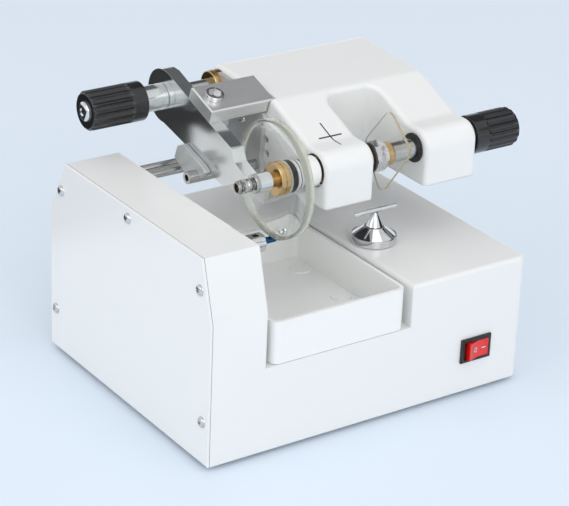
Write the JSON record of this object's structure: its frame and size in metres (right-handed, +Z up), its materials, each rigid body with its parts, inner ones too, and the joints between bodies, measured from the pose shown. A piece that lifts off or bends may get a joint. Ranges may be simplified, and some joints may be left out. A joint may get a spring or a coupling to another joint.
{
  "type": "optical lens edger",
  "caption": "Bench lens edger: white base with chip tray, belt-driven milling cutter, swing-up head with lens chuck, shape pattern and size dial.",
  "frame": {"origin": "middle of the machine's box, at the bottom of the feet", "axes": "+X to the operator's right along the spindles, +Y to the back, +Z up"},
  "size_m": [0.2592, 0.1864, 0.1729],
  "materials": {
    "white_paint": "bright white gloss paint",
    "white_tray": "white moulded plastic, glossy",
    "white_holder": "white moulded plastic",
    "chrome_screws": "bright plated screws",
    "foot_rubber": "black rubber",
    "black_frame": "black satin plastic",
    "red_rocker": "red glossy plastic",
    "motor_steel": "dark grey can",
    "plate_steel": "bare sheet steel",
    "belt_rubber": "black belt",
    "block_aluminium": "machined aluminium",
    "bearing_steel": "ground steel",
    "bush_plastic": "black plastic",
    "rod_steel": "drawn steel rod",
    "chrome": "mirror chrome",
    "set_screw_steel": "blackened steel",
    "cutter_steel": "hard metal with a blue shank band",
    "dark_plate": "dark grey steel plate",
    "brass": "turned brass",
    "spindle_steel": "dark steel",
    "arm_zinc": "polished and plated zinc",
    "guide_zinc": "light grey satin",
    "bar_aluminium": "satin aluminium, bright edges",
    "knob_black": "glossy black fluted plastic",
    "ring_plastic": "pale knurled ring",
    "pad_rubber": "black rubber pad",
    "lens_glass": "clear lens blank with a greenish edge",
    "pattern_clear": "clear plastic pattern with a yellowish edge"
  },
  "bodies": {
    "base": {"base_shell": "white_paint", "side_panel": "white_paint", "side_panel_screws": "chrome_screws", "bottom_plate": "white_paint", "rubber_feet": "foot_rubber", "base_screws": "chrome_screws", "switch_body": "black_frame", "mains_inlet": "black_frame", "motor_can": "motor_steel", "motor_bracket": "plate_steel", "drive_belt": "belt_rubber", "bearing_block": "block_aluminium", "spindle_bearings": "bearing_steel", "dial_bush": "bush_plastic", "pivot_bracket": "white_paint", "pivot_axle": "rod_steel", "tie_rod": "rod_steel", "rod_clips": "chrome_screws"},
    "tray": {"chip_tray": "white_tray"},
    "rocker": {"rocker_button": "red_rocker"},
    "cutter": {"cutter_spindle": "chrome", "cutter_set_screw": "set_screw_steel", "milling_cutter": "cutter_steel", "spindle_pulley": "block_aluminium"},
    "motor_rotor": {"motor_shaft": "bearing_steel", "motor_pulley": "block_aluminium"},
    "dial": {"size_dial": "chrome"},
    "rest": {"rest_post": "chrome", "rest_bar": "chrome"},
    "head": {"head_cover": "white_paint", "left_frame_plate": "dark_plate", "right_frame_plate": "dark_plate", "frame_cross_bar": "rod_steel", "spindle_block": "block_aluminium", "spindle_bushes": "brass", "sleeve_bush": "bush_plastic", "head_screws": "chrome_screws", "rear_shaft": "rod_steel", "shaft_collar": "brass"},
    "clamp": {"clamp_arm": "arm_zinc", "guide_block": "guide_zinc", "guide_pin": "rod_steel", "steady_bar": "bar_aluminium", "steady_bar_bolt": "chrome_screws", "chuck_stud": "rod_steel"},
    "clamp_screw": {"clamp_knob": "knob_black", "clamp_knob_cap": "chrome", "clamp_sleeve": "chrome"},
    "chuck": {"chuck_disc": "brass", "chuck_ring": "ring_plastic", "chuck_pad": "pad_rubber"},
    "lens_spindle": {"lens": "lens_glass", "pad_holder": "white_holder", "spindle_shaft": "spindle_steel", "spindle_nut": "chrome", "pattern_flange": "brass", "pattern": "pattern_clear"},
    "press_knob": {"press_sleeve": "chrome", "spindle_knob": "knob_black", "spindle_knob_cap": "chrome"}
  },
  "joints": [
    {"name": "head_lift", "type": "hinge", "parent": "base", "child": "head", "pos_m": [0, 0.06261, 0.1167], "axis": [-1, 0, 0], "range_deg": [0, 60]},
    {"name": "clamp_slide", "type": "slide", "parent": "head", "child": "clamp", "axis": [-1, 0, 0], "range_m": [0, 0.01]},
    {"name": "clamp_knob_turn", "type": "hinge", "parent": "clamp", "child": "clamp_screw", "pos_m": [-0.08785, 0.07561, 0.155], "axis": [-1, 0, 0], "range_deg": [0, 1800]},
    {"name": "chuck_turn", "type": "hinge", "parent": "clamp", "child": "chuck", "pos_m": [-0.04485, -0.02599, 0.1365], "axis": [1, 0, 0], "continuous": true},
    {"name": "lens_spindle_turn", "type": "hinge", "parent": "head", "child": "lens_spindle", "pos_m": [-0.00285, -0.02599, 0.1365], "axis": [1, 0, 0], "continuous": true},
    {"name": "spindle_knob_pull", "type": "slide", "parent": "lens_spindle", "child": "press_knob", "axis": [1, 0, 0], "range_m": [0, 0.008], "stiffness_N_per_m": 200},
    {"name": "cutter_spin", "type": "hinge", "parent": "base", "child": "cutter", "pos_m": [-0.06785, -0.02599, 0.0993], "axis": [1, 0, 0], "continuous": true},
    {"name": "motor_spin", "type": "hinge", "parent": "base", "child": "motor_rotor", "pos_m": [-0.10785, 0.05461, 0.039], "axis": [1, 0, 0], "continuous": true},
    {"name": "power_switch", "type": "hinge", "parent": "base", "child": "rocker", "pos_m": [0.0583, -0.08739, 0.0301], "axis": [0, 0, -1], "range_deg": [0, 20]},
    {"name": "size_dial_turn", "type": "hinge", "parent": "base", "child": "dial", "pos_m": [0.02635, -0.02599, 0.087], "axis": [0, 0, 1], "range_deg": [0, 1800]},
    {"name": "rest_post_rise", "type": "slide", "parent": "base", "child": "rest", "axis": [0, 0, 1], "range_m": [0, 0.005]},
    {"name": "tray_pull", "type": "slide", "parent": "base", "child": "tray", "axis": [0, -1, 0], "range_m": [0, 0.1]}
  ],
  "couplings": [
    {"joint": "clamp_knob_turn", "follows": "clamp_slide", "rad_per_m": 3141.6},
    {"joint": "chuck_turn", "follows": "lens_spindle_turn", "ratio": 1},
    {"joint": "motor_spin", "follows": "cutter_spin", "ratio": 0.69325},
    {"joint": "size_dial_turn", "follows": "rest_post_rise", "rad_per_m": 6283.2}
  ]
}
